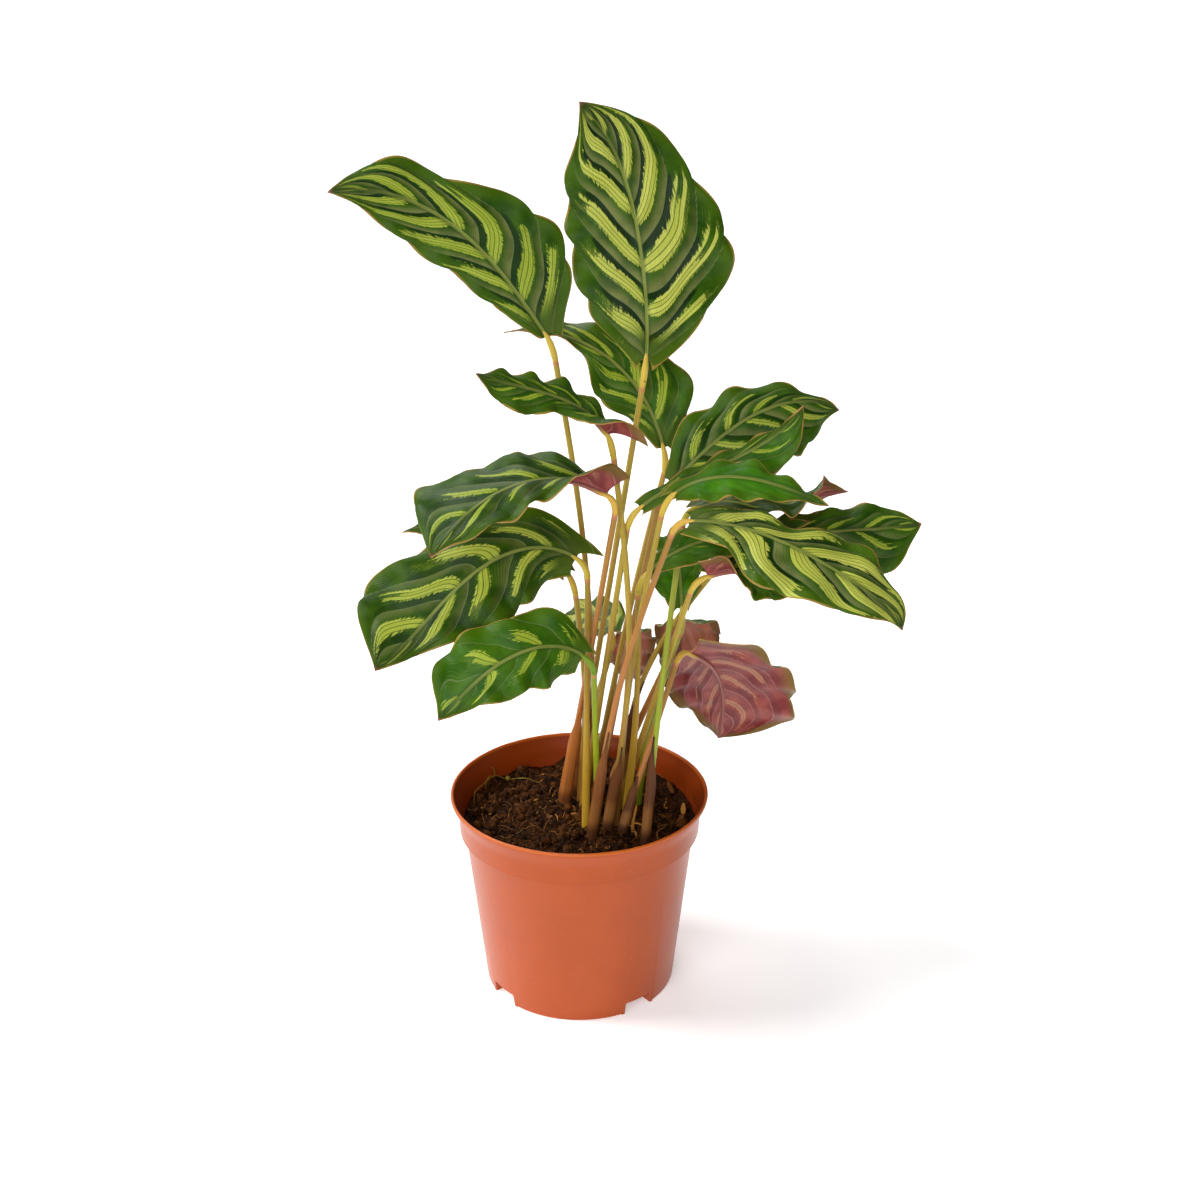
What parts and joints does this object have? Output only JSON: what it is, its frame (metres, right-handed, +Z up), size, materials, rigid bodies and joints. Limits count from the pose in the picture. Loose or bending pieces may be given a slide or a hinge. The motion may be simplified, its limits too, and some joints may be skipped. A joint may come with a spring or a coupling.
{
  "type": "potted peacock plant",
  "caption": "Peacock plant with waved, banded oval leaves on slender stalks, growing in a round terracotta-coloured plastic nursery pot filled with soil.",
  "frame": {"origin": "on the pot's axis, on the surface that the pot stands on", "axes": "+Z up along the pot's axis, -Y towards the front of the plant, +X to its right"},
  "size_m": [0.2566, 0.1467, 0.4031],
  "materials": {
    "pot_plastic": "semi-matte moulded plastic, terracotta orange",
    "peat_soil": "coarse damp peat with light fibres",
    "leaf_blade": "satin leaf, dark green with pale bands, underside tinted purple",
    "petiole": "satin stalk, olive to reddish brown",
    "dry_sheath": "dry papery leaf sheath, brown"
  },
  "bodies": {
    "root": {"pot": "pot_plastic", "soil": "peat_soil", "leaf_01_blade": "leaf_blade", "leaf_01_petiole": "petiole", "leaf_02_blade": "leaf_blade", "leaf_02_petiole": "petiole", "leaf_02_sheath": "dry_sheath", "leaf_03_blade": "leaf_blade", "leaf_03_petiole": "petiole", "leaf_04_blade": "leaf_blade", "leaf_04_petiole": "petiole", "leaf_04_sheath": "dry_sheath", "leaf_05_blade": "leaf_blade", "leaf_05_petiole": "petiole", "leaf_05_sheath": "dry_sheath", "leaf_06_blade": "leaf_blade", "leaf_06_petiole": "petiole", "leaf_07_blade": "leaf_blade", "leaf_07_petiole": "petiole", "leaf_08_blade": "leaf_blade", "leaf_08_petiole": "petiole", "leaf_08_sheath": "dry_sheath", "leaf_09_blade": "leaf_blade", "leaf_09_petiole": "petiole", "leaf_10_blade": "leaf_blade", "leaf_10_petiole": "petiole", "leaf_11_blade": "leaf_blade", "leaf_11_petiole": "petiole", "leaf_12_blade": "leaf_blade", "leaf_12_petiole": "petiole", "leaf_12_sheath": "dry_sheath", "leaf_13_blade": "leaf_blade", "leaf_13_petiole": "petiole", "leaf_13_sheath": "dry_sheath", "leaf_14_blade": "leaf_blade", "leaf_14_petiole": "petiole", "leaf_14_sheath": "dry_sheath", "leaf_15_blade": "leaf_blade", "leaf_15_petiole": "petiole", "leaf_16_blade": "leaf_blade", "leaf_16_petiole": "petiole", "leaf_17_blade": "leaf_blade", "leaf_17_petiole": "petiole", "leaf_18_blade": "leaf_blade", "leaf_18_petiole": "petiole", "leaf_18_sheath": "dry_sheath", "leaf_19_blade": "leaf_blade", "leaf_19_petiole": "petiole", "leaf_20_blade": "leaf_blade", "leaf_20_petiole": "petiole", "leaf_21_blade": "leaf_blade", "leaf_21_petiole": "petiole"}
  },
  "joints": []
}
